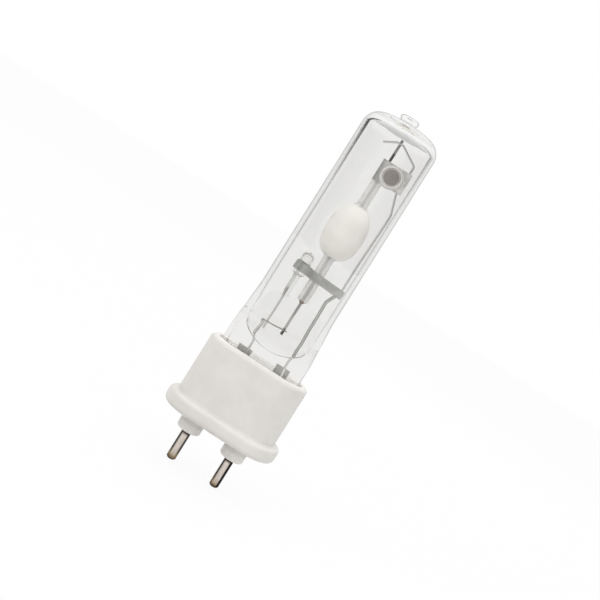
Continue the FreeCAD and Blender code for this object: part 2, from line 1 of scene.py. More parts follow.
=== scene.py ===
import bpy
import math
from mathutils import Matrix, Vector

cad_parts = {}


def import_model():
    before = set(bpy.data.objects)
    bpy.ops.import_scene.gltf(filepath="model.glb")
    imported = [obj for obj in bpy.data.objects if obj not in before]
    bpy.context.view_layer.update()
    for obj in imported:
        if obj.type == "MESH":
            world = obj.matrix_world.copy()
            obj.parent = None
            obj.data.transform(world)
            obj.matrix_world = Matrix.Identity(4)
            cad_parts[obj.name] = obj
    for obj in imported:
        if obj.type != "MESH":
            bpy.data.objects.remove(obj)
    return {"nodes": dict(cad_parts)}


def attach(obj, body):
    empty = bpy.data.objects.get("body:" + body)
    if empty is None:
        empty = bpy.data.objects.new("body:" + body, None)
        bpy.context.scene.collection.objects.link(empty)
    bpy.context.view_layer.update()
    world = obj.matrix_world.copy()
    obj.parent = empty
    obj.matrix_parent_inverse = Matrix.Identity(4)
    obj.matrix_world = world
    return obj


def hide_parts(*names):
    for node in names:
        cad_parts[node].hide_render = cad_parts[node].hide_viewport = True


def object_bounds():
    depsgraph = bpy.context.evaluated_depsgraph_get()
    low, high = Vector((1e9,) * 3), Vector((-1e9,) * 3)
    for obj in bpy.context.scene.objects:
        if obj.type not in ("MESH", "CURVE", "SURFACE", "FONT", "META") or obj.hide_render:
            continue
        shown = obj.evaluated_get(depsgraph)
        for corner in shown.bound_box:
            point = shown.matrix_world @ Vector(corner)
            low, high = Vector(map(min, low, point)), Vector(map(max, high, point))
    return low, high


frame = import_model()
cad_low, cad_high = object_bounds()

# Lengths are in millimetres in the CAD frame. A pair (a, b) of heights, distances or facing values
# means no effect at a and full effect at b. Facing is 0 where a surface faces the view and 1 at its edge.
MM = 0.001

# Camera: level, turned a little to the right of the lamp's front, rolled so that the lamp leans right
CAMERA_DISTANCE = 236.0
CAMERA_HEIGHT = 51.0
CAMERA_YAW = math.radians(-5.39)
CAMERA_ROLL = math.radians(32.07)
CAMERA_SENSOR = 36.0
CAMERA_LENS = 60.6
CAMERA_SHIFT = (-0.0562, -0.092)
CAMERA_CLIP = (0.01, 20.0)

# Outer bulb: tube, dome, nib and the flat pinch at its foot
TUBE_RADIUS = 9.775
CAVITY_RADIUS = 8.525
TUBE_START = 35.0
CROWN_TOP = 84.05
CROWN_RADIUS = 30.0
CROWN_CORNER = 4.1
INNER_TOP = 81.35
INNER_CROWN_RADIUS = 120.0
INNER_CORNER = 1.6
NIB_X = -0.3
NIB_RADIUS = 2.42
NIB_NECK_RADIUS = 2.15
NIB_ROOT = 0.9
NIB_TOP = 85.6
NIB_EDGE = 0.6
PINCH_BOTTOM = 8.2
PINCH_HALF_WIDTH = 10.5
PINCH_HALF_DEPTH = 2.3
PINCH_START = 22.8
BEAD_WIDTH = 1.5
BEAD_RISE = 0.6
BEAD_EDGE = 0.5
CAVITY_BOTTOM = 22.0
CAVITY_RISE = 6.0
CAVITY_HALF_FOOT = 0.2
BULB_POINTS = 256

# Powers of a ring's outline, and how the flat pinch turns into the round tube, outside and inside
ELLIPSE = 2
FLAT = 8
WIDTH_EASE = 1.3
ROUND_RATE = 2.2
BEAD_FADE_RATE = 5
BEAD_HOLD = 0.3
FLOOR_ROUND_TURN = math.radians(35)
FLOOR_ROUND_DELAY = 1.5
INNER_CROWN_STOP = 0.3

# Enhancer capsule
CAPSULE_X = -3.5
CAPSULE_RADIUS = 1.575
CAPSULE_ROOM_RADIUS = 1.175
CAPSULE_SHOULDER = 40.7
CAPSULE_SHOULDER_EDGE = 0.5
CAPSULE_FOOT_EDGE = 0.45
CAPSULE_FLOOR = 0.9
CAPSULE_CROWN = 46.45
CAPSULE_CROWN_EDGE = 1.2
CAPSULE_CROWN_WALL = 0.4
CAPSULE_ROOM_EDGE = 0.9
CAPSULE_TOP = 46.65
STEM_RADIUS = 0.9
STEM_BOTTOM = 34.75
CAPSULE_POINTS = 64

# World light: its strength at the horizon and overhead, then the strength that surfaces mirror: from the
# sides and from front and back, less from the right, more from above in the open, one level inside glass
AMBIENT = (0.2, 1.55)
MIRRORED_SIDES = (0.3, 0.85)
MIRRORED_RIGHT = -0.2
MIRRORED_ABOVE = 0.45
MIRRORED_IN_GLASS = 1.0
MOST_WALL_CROSSINGS = 3.5
TRAPPED_REFLECTIONS = 1.5
# Directions over which those levels change: from the sides to front and back, to the right, and upward
TO_FRONT = (0.55, 0.97)
TO_RIGHT = (0.2, 0.9)
UPWARD = (0.25, 0.85)
LAMPS = (
    # name, place in metres, size in metres, watts
    ("key", (-0.30, -0.38, 0.42), (0.35, 0.35), 1.1),
    ("fill", (0.50, -0.30, 0.14), (0.30, 0.45), 0.6),
    ("back", (0.10, 0.55, 0.45), (0.50, 0.25), 0.7),
)
LAMP_AIM = (0.0, 0.0, 0.035)
FLOOR_REACH = 4.0
FLOOR_GLOW = 0.92
FLOOR_GLOSSY_GLOW = 0.6

# Glass: tints and their places, a wave's size and depth, and the reflections after which light is let out
QUARTZ_IOR = 1.458
BULB_TINT = (0.855, 0.85, 0.838)
BULB_WAVE = (7.0, 0.02)
CAPSULE_TINT = (0.93, 0.93, 0.92)
CAPSULE_WAVE = (1.5, 0.015)
INSIDE_TINT = (0.995, 0.995, 0.993)
DOME_TINT = (0.96, 0.96, 0.95)
DOME = (80.2, 81.4)
# Painted shade where the glass is seen edge-on, on its rims and on the nib's tip, standing in for dark
# reflections: colour, facing values, the tip's heights and its facing values
RIM_PAINTED_SHADE = (0.2, 0.2, 0.195)
RIM_SHADE_FACING = (0.68, 0.84)
NIB_TIP_SHADE = (84.1, 84.4)
NIB_TIP_SHADE_FACING = (0.4, 0.7)
STREAK_TINT = (0.74, 0.74, 0.75)
STREAKS = (81.4, 82.4)
SHADOW_TINT = (0.99, 0.99, 0.99)
TRAPPED_TINT = (0.97, 0.97, 0.965)
TRAPPED_BOUNCES = 2.5

# Painted dark line of shade, standing in for the dark edge that internal reflection makes, on the inside of a
# glass wall that is seen almost along its surface: (facing, strength)
LINE_THIN = ((0.258, 0.0), (0.268, 1.0), (0.276, 0.5), (0.295, 0.15), (0.32, 0.0))
LINE_WIDE = ((0.245, 0.0), (0.264, 1.0), (0.282, 1.0), (0.325, 0.0))
LINE_THIN_FROM_AIR = ((0.80, 0.0), (0.93, 1.0))
LINE_WIDE_FROM_AIR = ((0.72, 0.0), (0.86, 1.0))
LINE_FOOT = (23.0, 45.0)
LINE_FOOT_STRENGTH = 0.08
LINE_END = (80.9, 80.2)
LINE_THIN_STRENGTH = 0.4
LINE_LEFT = (9.0, -9.0)
LINE_RIGHT_STRENGTH = 0.3
# colour, x of the piece's axis, distance from the axis where it begins, heights where it turns wide
BULB_LINE = ((0.03, 0.03, 0.03), 0.0, (4.5, 5.5), (62.0, 79.0))
CAPSULE_LINE = ((0.35, 0.35, 0.35), CAPSULE_X, (0.4, 0.7), (30.0, 40.0))

# Places on the other pieces
# Painted light on the ceramic inside the pocket, a recess in shade, and on the collars under the flange:
# distances across and heights
POCKET_Y = (5.1, 4.85)
POCKET_X = (10.4, 9.6)
POCKET_Z = (15.0, 16.0)
COLLAR_PAINTED_LIGHT = (-1.7, -2.3)
BURNER_X = 0.75
BURNER_STEM = (1.5, 2.6)
UPPER_SEAL = (70.0, 71.0)
UPPER_SEAL_END = (76.3, 76.6)
LOWER_END = (28.9, 28.4)
LOWER_LEAD = (33.5, 31.5)
FOIL_WELD = (20.7, 20.2)
STRAP_ENDS = (-5.5, 8.0)
# Painted shade along the strap, where it curves round the capsule: (place from its left end to its right,
# strength)
STRAP_PAINTED_SHADE = ((0.05, 0.0), (0.12, 0.8), (0.19, 0.5), (0.23, 0.5), (0.31, 0.8), (0.34, 0.8), (0.50, 0.5),
                 (1.0, 0.42))
# Darker toward the getter plate's left edge
PLATE_DARKER_LEFT = (3.4, -0.8)
# Painted shade down the right side of the right pin: its centre, and the distances over which it comes in
PIN_SHADED_SIDE = (7.1, -0.4, 0.0)
PIN_SHADED_SIDE_REACH = (1.0, 0.55)
# Tarnish toward the pins' ends, and a painted shade just under the collars
PIN_TARNISH_AND_SHADE = (
    # heights, spread of its edge, colour
    ((-7.5, -12.0), 0.25, (0.46, 0.36, 0.20)),
    ((-9.8, -11.5), 0.3, (0.11, 0.06, 0.028)),
    ((-10.9, -11.5), 0.1, (0.03, 0.017, 0.01)),
    # painted shade: a near-black band just under the collars
    ((-5.4, -4.4), 0.15, (0.06, 0.045, 0.035)),
)
GETTER_CENTRE = (3.225, 0.0, 71.2)
GETTER_RIM = (1.8, 1.88)
GETTER_RINGS = (1.9, 2.9)
# Painted light and shade in rings over the getter cup's lip: (place from the inner to the outer distance,
# colour)
RING_LIGHT_AND_SHADE = ((0.0, (0.45, 0.43, 0.42)), (0.12, (1, 1, 1)), (0.32, (0.55, 0.54, 0.53)), (0.4, (1, 1, 1)),
               (0.62, (1, 1, 1)), (0.7, (0.5, 0.49, 0.48)), (0.8, (0.9, 0.89, 0.88)))

# Metals: the grain of drawn wire, the facing values over which a painted shade darkens their edges, standing in
# for darker reflections there, and plain metals by name
DRAWN = (1.0, 1.0, 0.2)
EDGE_SHADE_TURN = (0.1, 0.42)
WIRE_SHADES = ((0.62, 0.62, 0.60), (0.86, 0.86, 0.84))
# edge: the colour of the painted shade on a wire's long edges
PLAIN_METALS = {
    "lead_wire": dict(dark=WIRE_SHADES[0], light=WIRE_SHADES[1], roughness=0.3, grain=DRAWN, size=0.15,
                      edge=(0.45, 0.45, 0.44)),
    "dull_wire": dict(dark=(0.46, 0.46, 0.44), light=(0.66, 0.66, 0.64), roughness=0.3, grain=DRAWN,
                      size=0.15, edge=(0.24, 0.24, 0.23)),
    "link_metal": dict(dark=(0.34, 0.34, 0.33), light=(0.54, 0.54, 0.52), roughness=0.35, size=0.2),
    "tungsten": dict(dark=(0.16, 0.16, 0.17), light=(0.28, 0.28, 0.29), roughness=0.4),
    "foil": dict(dark=(0.44, 0.44, 0.42), light=(0.60, 0.60, 0.57), roughness=0.36, grain=(1, 1, 0.1),
                 size=0.3),
    "bright_foil": dict(dark=(0.86, 0.86, 0.85), light=(0.95, 0.95, 0.94), roughness=0.3),
}


def placed(name, data):
    """A new object in the scene."""
    obj = bpy.data.objects.new(name, data)
    bpy.context.scene.collection.objects.link(obj)
    return obj


# Glass shapes

def smooth(t):
    t = max(0.0, min(1.0, t))
    return t * t * (3 - 2 * t)


def ring(half_width, half_depth, power, z, count, x=0.0):
    """Superellipse at height z; power 2 is an ellipse and a high power a rounded rectangle."""
    points = []
    for i in range(count):
        turn = 2 * math.pi * i / count
        c, s = math.cos(turn), math.sin(turn)
        reach = (abs(c) ** power + abs(s) ** power) ** (-1 / power)
        points.append((x + half_width * reach * c, half_depth * reach * s, z))
    return points


def round_rings(rows, count, x=0.0):
    """Circles from (radius, z) rows."""
    return [ring(radius, radius, ELLIPSE, z, count, x) for radius, z in rows]


def lofted(name, shells):
    """One smooth mesh from closed shells; a shell is a list of rings, capped at both ends."""
    verts, faces = [], []
    for rings, outward in shells:
        base = len(verts)
        count = len(rings[0])
        for points in rings:
            verts += [Vector(p) * MM for p in points]
        shell_faces = []
        for r in range(len(rings) - 1):
            low, high = base + r * count, base + (r + 1) * count
            for i in range(count):
                j = (i + 1) % count
                shell_faces.append((low + i, low + j, high + j, high + i))
        for r, flip in ((0, True), (len(rings) - 1, False)):
            centre = sum((Vector(p) for p in rings[r]), Vector()) / count
            verts.append(centre * MM)
            hub = len(verts) - 1
            edge = base + r * count
            for i in range(count):
                j = (i + 1) % count
                shell_faces.append((edge + j, edge + i, hub) if flip else (edge + i, edge + j, hub))
        faces += shell_faces if outward else [tuple(reversed(f)) for f in shell_faces]
    mesh = bpy.data.meshes.new(name)
    mesh.from_pydata(verts, [], faces)
    mesh.polygons.foreach_set("use_smooth", [True] * len(mesh.polygons))
    return placed(name, mesh)


def dome_rows(radius, top, crown_radius, corner, low, stop_radius):
    """(radius, z) rows up a tube, round its corner and in along the crown to stop_radius."""
    tube_steps = (0, 0.02, 0.1, 0.3, 0.6, 0.9, 0.98, 1)
    corner_steps = 24
    crown_steps = 14
    crown_z = top - crown_radius
    corner_r = radius - corner
    corner_z = crown_z + math.sqrt((crown_radius - corner) ** 2 - corner_r ** 2)
    lean = math.atan2(corner_r, corner_z - crown_z)
    rows = [(radius, low + (corner_z - low) * t) for t in tube_steps]
    for i in range(1, corner_steps + 1):
        turn = (math.pi / 2 - lean) * i / corner_steps
        rows.append((corner_r + corner * math.cos(turn), corner_z + corner * math.sin(turn)))
    end = math.asin(stop_radius / crown_radius)
    for i in range(1, crown_steps + 1):
        turn = lean + (end - lean) * i / crown_steps
        rows.append((crown_radius * math.sin(turn), crown_z + crown_radius * math.cos(turn)))
    return rows


def rounded_end(radius, top, edge, steps=8):
    """(radius, z) rows over a rounded top edge and in toward the axis."""
    turns = [math.pi / 2 * i / steps for i in range(steps + 1)]
    rows = [(radius - edge + edge * math.cos(a), top - edge + edge * math.sin(a)) for a in turns]
    return rows + [(t * (radius - edge), top) for t in (0.6, 0.2)]


def nib_rows(crown_z):
    """(radius, z) rows: a neck that flows out of the crown, and the rounded tip."""
    neck = ((0.35, 0.04), (0.06, 0.18), (0.0, 0.4), (0.12, 0.62))
    rows = [(NIB_NECK_RADIUS + wider, crown_z + higher) for wider, higher in neck]
    return rows + rounded_end(NIB_RADIUS, NIB_TOP, NIB_EDGE)


def beaded(points, amount):
    """Swells a flat ring near its two side edges."""
    bead_start = max(p[0] for p in points) - BEAD_WIDTH - BEAD_EDGE / 2
    swollen = []
    for x, y, z in points:
        near = smooth((abs(x) - bead_start) / BEAD_EDGE)
        swollen.append((x, y * (1 + amount * near * BEAD_RISE / PINCH_HALF_DEPTH), z))
    return swollen


def bulb_outer_rings():
    """Flat pinch with beads, the change from flat to round, the tube, the dome and the nib."""
    pinch_rows = 6
    change_rows = 48
    rings = []
    for i in range(pinch_rows):
        z = PINCH_BOTTOM + (PINCH_START - PINCH_BOTTOM) * i / pinch_rows
        rings.append(beaded(ring(PINCH_HALF_WIDTH, PINCH_HALF_DEPTH, FLAT, z, BULB_POINTS), 1.0))
    for i in range(change_rows):
        t = i / change_rows
        z = PINCH_START + (TUBE_START - PINCH_START) * t
        width = TUBE_RADIUS + (PINCH_HALF_WIDTH - TUBE_RADIUS) * (1 - t ** WIDTH_EASE)
        depth = PINCH_HALF_DEPTH + (TUBE_RADIUS - PINCH_HALF_DEPTH) * smooth(t)
        power = ELLIPSE + (FLAT - ELLIPSE) * (1 - smooth(t * ROUND_RATE))
        bead = 1 - smooth(t * BEAD_FADE_RATE - BEAD_HOLD)
        rings.append(beaded(ring(width, depth, power, z, BULB_POINTS), bead))
    rows = dome_rows(TUBE_RADIUS, CROWN_TOP, CROWN_RADIUS, CROWN_CORNER, TUBE_START, NIB_NECK_RADIUS + NIB_ROOT)
    nib = nib_rows(rows[-1][1])
    return rings + round_rings(rows, BULB_POINTS) + round_rings(nib, BULB_POINTS, NIB_X)


def cavity_half_depth(z):
    t = (z - CAVITY_BOTTOM) / (TUBE_START - CAVITY_BOTTOM)
    return CAVITY_HALF_FOOT + (CAVITY_RADIUS - CAVITY_HALF_FOOT) * smooth(t)


def bulb_inner_rings():
    """The room: a flat foot whose floor is a U from the front, a round tube and a dome."""
    floor_rows = 30
    wall_rows = 24
    rings = []
    for i in range(1, floor_rows + 1):
        turn = math.pi / 2 * i / floor_rows
        z = CAVITY_BOTTOM + CAVITY_RISE * (1 - math.cos(turn))
        depth = cavity_half_depth(z)
        round_off = smooth(turn / FLOOR_ROUND_TURN - FLOOR_ROUND_DELAY)
        power = FLAT - (FLAT - ELLIPSE) * round_off
        points = []
        for x, y, z in ring(CAVITY_RADIUS * math.sin(turn), 1, power, z, BULB_POINTS):
            fall = math.sqrt(max(0.0, 1 - (x / CAVITY_RADIUS) ** 2)) ** (1 - round_off)
            points.append((x, y * depth * fall, z))
        rings.append(points)
    low = CAVITY_BOTTOM + CAVITY_RISE
    for i in range(1, wall_rows):
        z = low + (TUBE_START - low) * i / wall_rows
        rings.append(ring(CAVITY_RADIUS, cavity_half_depth(z), ELLIPSE, z, BULB_POINTS))
    rows = dome_rows(CAVITY_RADIUS, INNER_TOP, INNER_CROWN_RADIUS, INNER_CORNER, TUBE_START, INNER_CROWN_STOP)
    return rings + round_rings(rows, BULB_POINTS)


def capsule_outer_rings():
    """Stem, shoulder, tube and crown with its small tip."""
    shoulder_steps = 6
    rows = [(0.6 * STEM_RADIUS, STEM_BOTTOM), (0.9 * STEM_RADIUS, STEM_BOTTOM + 0.05),
            (STEM_RADIUS, STEM_BOTTOM + 0.25), (STEM_RADIUS, CAPSULE_SHOULDER - 0.7),
            (STEM_RADIUS + 0.05, CAPSULE_SHOULDER - 0.3), (STEM_RADIUS + 0.25, CAPSULE_SHOULDER - 0.02)]
    for i in range(1, shoulder_steps + 1):
        turn = math.pi / 2 * i / shoulder_steps
        rows.append((CAPSULE_RADIUS - CAPSULE_FOOT_EDGE * (1 - math.sin(turn)),
                     CAPSULE_SHOULDER + CAPSULE_SHOULDER_EDGE * (1 - math.cos(turn))))
    rows += rounded_end(CAPSULE_RADIUS, CAPSULE_CROWN, CAPSULE_CROWN_EDGE)[:-1]
    rows += [(0.22, CAPSULE_TOP), (0.1, CAPSULE_TOP)]
    return round_rings(rows, CAPSULE_POINTS, CAPSULE_X)


def capsule_inner_rings():
    """The capsule's room: a dished floor, its wall and a rounded crown."""
    floor_z = CAPSULE_SHOULDER + CAPSULE_FLOOR
    rows = [(CAPSULE_ROOM_RADIUS * t, floor_z + 0.35 * t ** 4) for t in (0.3, 0.7, 0.9, 1)]
    rows += rounded_end(CAPSULE_ROOM_RADIUS, CAPSULE_CROWN - CAPSULE_CROWN_WALL, CAPSULE_ROOM_EDGE)
    return round_rings(rows, CAPSULE_POINTS, CAPSULE_X)


def glass_piece(name, node, outer, inner, materials):
    """A glass piece with slot 0 on its outside and slot 1 on its inside, in place of a CAD node."""
    piece = lofted(name, [(outer, True), (inner, False)])
    sides, caps = len(outer) - 1, 2
    outside_faces = (sides + caps) * len(outer[0])
    for face in piece.data.polygons[outside_faces:]:
        face.material_index = 1
    for material in materials:
        piece.data.materials.append(material)
    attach(piece, "root")
    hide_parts(node)


# Materials

def grey(t):
    return (t, t, t)


class Nodes:
    """A node tree, with the helpers that materials and the world share."""

    def __init__(self, owner):
        owner.use_nodes = True
        self.tree = owner.node_tree
        self.tree.nodes.clear()

    def add(self, kind, **settings):
        node = self.tree.nodes.new(kind)
        for key, value in settings.items():
            setattr(node, key, value)
        return node

    def feed(self, socket, value):
        """Gives a socket a number, vector or colour of its own, or another node's output."""
        if isinstance(value, (float, int)):
            socket.default_value = value
        elif isinstance(value, tuple):
            socket.default_value = (*value, 1) if socket.type == "RGBA" else value
        else:
            self.tree.links.new(value, socket)

    def maths(self, operation, a, b):
        node = self.add("ShaderNodeMath", operation=operation)
        self.feed(node.inputs[0], a)
        self.feed(node.inputs[1], b)
        return node.outputs[0]

    def span(self, value, low, high, to_low=0.0, to_high=1.0, **settings):
        """value from low to high, turned into to_low to to_high and held there beyond."""
        node = self.add("ShaderNodeMapRange", **settings)
        for index, number in enumerate((value, low, high, to_low, to_high)):
            self.feed(node.inputs[index], number)
        return node.outputs[0]


class Shader(Nodes):
    """A material with one Principled shader."""

    def __init__(self, name):
        self.material = bpy.data.materials.new(name)
        super().__init__(self.material)
        self.output = self.add("ShaderNodeOutputMaterial")
        self.surface = self.add("ShaderNodeBsdfPrincipled")
        self.feed(self.output.inputs["Surface"], self.surface.outputs[0])
        self.place = self.add("ShaderNodeTexCoord").outputs["Object"]

    def set(self, **values):
        for key, value in values.items():
            self.surface.inputs[key.replace("_", " ")].default_value = value

    def colour(self, value):
        self.feed(self.surface.inputs["Base Color"], value)

    def colour_so_far(self):
        return self.surface.inputs["Base Color"].links[0].from_socket

    def roughness(self, value, low, high):
        self.feed(self.surface.inputs["Roughness"], self.scale(value, low, high))

    def stretched(self, scales):
        node = self.add("ShaderNodeMapping")
        self.feed(node.inputs["Scale"], tuple(scales))
        self.feed(node.inputs["Vector"], self.place)
        return node.outputs[0]

    def noise(self, size, detail=3.0, rough=0.5, where=None):
        """Noise whose features are about size millimetres across."""
        node = self.add("ShaderNodeTexNoise")
        self.feed(node.inputs["Scale"], 1.0 / (size * MM))
        self.feed(node.inputs["Detail"], detail)
        self.feed(node.inputs["Roughness"], rough)
        self.feed(node.inputs["Vector"], where or self.place)
        return node.outputs["Fac"]

    def scale(self, value, low, high):
        return self.span(value, 0.0, 1.0, low, high)

    def ramp(self, value, *stops):
        """Colour along value; a stop is a position and a colour."""
        node = self.add("ShaderNodeValToRGB")
        elements = node.color_ramp.elements
        while len(elements) < len(stops):
            elements.new(0.5)
        for element, (position, colour) in zip(elements, stops):
            element.position = position
            element.color = (*colour, 1)
        self.feed(node.inputs[0], value)
        return node.outputs[0]

    def grey_ramp(self, value, stops):
        return self.ramp(value, *[(position, grey(t)) for position, t in stops])

    def mask(self, value, low, high):
        """0 where value is low, 1 where it is high."""
        return self.grey_ramp(value, ((low, 0.0), (high, 1.0)))

    def mix(self, factor, a, b):
        """Blends colour a into colour b."""
        node = self.add("ShaderNodeMix", data_type="RGBA")
        self.feed(node.inputs["Factor"], factor)
        first, second = [socket for socket in node.inputs if socket.type == "RGBA"]
        self.feed(first, a)
        self.feed(second, b)
        return [socket for socket in node.outputs if socket.type == "RGBA"][0]

    def bump(self, value, depth):
        node = self.add("ShaderNodeBump")
        self.feed(node.inputs["Distance"], depth * MM)
        self.feed(node.inputs["Strength"], 1.0)
        self.feed(node.inputs["Height"], value)
        self.feed(self.surface.inputs["Normal"], node.outputs[0])

    def facing(self):
        return self.add("ShaderNodeLayerWeight").outputs["Facing"]

    def along(self, axis, low, high):
        """0 at low millimetres along an axis, 1 at high."""
        split = self.add("ShaderNodeSeparateXYZ")
        self.feed(split.inputs[0], self.place)
        return self.span(split.outputs[axis], low * MM, high * MM)

    def height(self, low, high):
        return self.along("Z", low, high)

    def distance(self, centre, axes, low, high):
        """0 at low millimetres from centre, measured along the axes marked 1, to 1 at high."""
        offset = self.add("ShaderNodeVectorMath", operation="SUBTRACT")
        self.feed(offset.inputs[0], self.place)
        self.feed(offset.inputs[1], tuple(c * MM for c in centre))
        flat = self.add("ShaderNodeVectorMath", operation="MULTIPLY")
        self.feed(flat.inputs[0], offset.outputs[0])
        self.feed(flat.inputs[1], axes)
        length = self.add("ShaderNodeVectorMath", operation="LENGTH")
        self.feed(length.inputs[0], flat.outputs[0])
        return self.span(length.outputs["Value"], low * MM, high * MM)

    def edge_shade(self, colour, dark, turn):
        """Paints shade over a colour where the surface turns away, standing in for darker reflections at the
        edges.
        """
        return self.mix(self.mask(self.facing(), *turn), colour, dark)

    def blended(self, factor, other):
        """Puts a share of another shader in front of the surface so far."""
        before = self.output.inputs["Surface"].links[0].from_socket
        blend = self.add("ShaderNodeMixShader")
        self.feed(blend.inputs[0], factor)
        self.feed(blend.inputs[1], before)
        self.feed(blend.inputs[2], other.outputs[0])
        self.feed(self.output.inputs["Surface"], blend.outputs[0])

    def let_through(self, factor, tint):
        """Lets factor of the light straight through, tinted."""
        through = self.add("ShaderNodeBsdfTransparent")
        self.feed(through.inputs[0], tint)
        self.blended(factor, through)


def clear_to_light(s):
    """Lets lamp and ambient light straight through, and light that is trapped in the wall out."""
    path = s.add("ShaderNodeLightPath").outputs
    s.let_through(s.maths("MAXIMUM", path["Is Shadow Ray"], path["Is Diffuse Ray"]), SHADOW_TINT)
    s.let_through(s.maths("GREATER_THAN", path["Glossy Depth"], TRAPPED_BOUNCES), TRAPPED_TINT)


def painted_grazing_line(s, colour, centre_x, turn, wide):
    """Paints a dark line of shade on the inside of a glass wall where it is seen almost along its surface,
    standing in for the dark edge of internal reflection.
    """
    def thin_to_wide(thin_stops, wide_stops):
        return s.mix(s.height(*wide), s.grey_ramp(s.facing(), thin_stops), s.grey_ramp(s.facing(), wide_stops))

    to_the_side = s.distance((centre_x, 0, 0), (1, 0, 0), *turn)
    from_glass = s.maths("MULTIPLY", thin_to_wide(LINE_THIN, LINE_WIDE), to_the_side)
    from_air = s.maths("MULTIPLY", thin_to_wide(LINE_THIN_FROM_AIR, LINE_WIDE_FROM_AIR), s.height(*LINE_END))
    rise = s.maths("MULTIPLY", s.scale(s.height(*LINE_FOOT), LINE_FOOT_STRENGTH, 1.0),
                   s.scale(s.height(*wide), LINE_THIN_STRENGTH, 1.0))
    strength = s.maths("MULTIPLY", rise, s.scale(s.along("X", *LINE_LEFT), LINE_RIGHT_STRENGTH, 1.0))
    inside = s.add("ShaderNodeNewGeometry").outputs["Backfacing"]
    s.let_through(s.maths("MULTIPLY", s.mix(inside, from_air, from_glass), strength), colour)


def clear_glass(name, tint, wave):
    """Slightly wavy quartz: paler in the dome, with faint streaks in the crown, and painted shade on its rims
    and on the nib's tip where they are seen edge-on, standing in for dark reflections.
    """
    wave_size, wave_depth = wave
    s = Shader(name)
    s.set(Roughness=0.0, IOR=QUARTZ_IOR, Transmission_Weight=1.0)
    body = s.ramp(s.noise(wave_size, 2.0), (0.3, tuple(t * 0.985 for t in tint)), (0.75, tint))
    body = s.mix(s.height(*DOME), body, DOME_TINT)
    streak = s.mask(s.noise(1.5, 2.0, 0.5, s.stretched((1, 1, 3))), 0.52, 0.62)
    body = s.mix(s.maths("MULTIPLY", streak, s.height(*STREAKS)), body, STREAK_TINT)
    nib_tip_shade = s.maths("MULTIPLY", s.mask(s.facing(), *NIB_TIP_SHADE_FACING), s.height(*NIB_TIP_SHADE))
    body = s.mix(nib_tip_shade, body, RIM_PAINTED_SHADE)
    s.colour(s.mix(s.mask(s.facing(), *RIM_SHADE_FACING), body, RIM_PAINTED_SHADE))
    s.bump(s.noise(wave_size, 1.0), wave_depth)
    return s


def glass_pair(name, tint, wave, line):
    """Materials of a piece's outside and inside."""
    outside = clear_glass(name, tint, wave)
    clear_to_light(outside)
    inside = clear_glass(name + "_inside", INSIDE_TINT, wave)
    painted_grazing_line(inside, *line)
    clear_to_light(inside)
    return [outside.material, inside.material]


def ceramic():
    """Glazed, with painted light on the collars under the flange and inside the pocket, both of which lie in
    shade.
    """
    s = Shader("ceramic")
    s.set(IOR=1.5, Subsurface_Weight=0.15, Subsurface_Scale=1.2 * MM, Subsurface_Radius=(1.0, 0.9, 0.8),
          Coat_Weight=0.35, Coat_Roughness=0.22)
    glaze = s.ramp(s.noise(7.0, 4.0, 0.6), (0.35, (0.66, 0.635, 0.60)), (0.65, (0.71, 0.69, 0.655)))
    # painted light on the collars, which lie in the flange's shade
    glaze = s.mix(s.height(*COLLAR_PAINTED_LIGHT), glaze, (0.81, 0.79, 0.76))
    # painted light inside the pocket, a recess in shade
    pocket_light = s.maths("MULTIPLY", s.distance((0, 0, 0), (0, 1, 0), *POCKET_Y),
                     s.distance((0, 0, 0), (1, 0, 0), *POCKET_X))
    s.colour(s.mix(s.maths("MULTIPLY", pocket_light, s.height(*POCKET_Z)), glaze, (0.90, 0.89, 0.87)))
    s.roughness(s.noise(1.2, 4.0), 0.34, 0.5)
    s.bump(s.noise(0.55, 5.0, 0.6), 0.012)
    return s.material


def cement():
    s = Shader("cement")
    s.set(Roughness=0.9)
    s.colour(s.ramp(s.noise(0.8, 6.0, 0.7), (0.35, (0.62, 0.605, 0.59)), (0.7, (0.80, 0.785, 0.77))))
    s.bump(s.noise(0.35, 6.0, 0.7), 0.06)
    return s.material


def metal(name, dark, light, roughness, grain=(1, 1, 1), size=0.25, depth=0.004, edge=None, turn=EDGE_SHADE_TURN):
    """Drawn or rolled metal; edge is the colour of a painted shade where it turns away, standing in for darker
    reflections at its edges.
    """
    s = Shader(name)
    s.set(Metallic=1.0)
    streaks = s.noise(size, 4.0, 0.6, s.stretched(grain))
    colour = s.ramp(streaks, (0.3, dark), (0.7, light))
    s.colour(s.edge_shade(colour, edge, turn) if edge else colour)
    s.roughness(s.noise(size * 2, 3.0), roughness * 0.8, roughness * 1.25)
    s.bump(streaks, depth)
    return s


def tarnish_and_painted_shade(s, place, spread, colour):
    """Lays a tarnish, or elsewhere a painted shade, over a metal's colour where place, broken up by noise, is
    high.
    """
    patch = s.maths("ADD", place, s.scale(s.noise(1.2, 3.0), -spread, spread))
    s.colour(s.mix(s.mask(patch, 0.3, 0.9), s.colour_so_far(), colour))


def pin_metal():
    """Burnt brown at the ends, with painted shade on the long edges, in a band just under the collars and down
    the right side of the right pin.
    """
    s = metal("pin_metal", (0.66, 0.59, 0.53), (0.92, 0.85, 0.78), 0.2, (1, 1, 0.12),
              edge=(0.055, 0.044, 0.035), turn=(0.09, 0.32))
    for heights, spread, colour in PIN_TARNISH_AND_SHADE:
        tarnish_and_painted_shade(s, s.height(*heights), spread, colour)
    tarnish_and_painted_shade(s, s.distance(PIN_SHADED_SIDE, (1, 1, 0), *PIN_SHADED_SIDE_REACH), 0.1, (0.008, 0.007, 0.006))
    return s.material


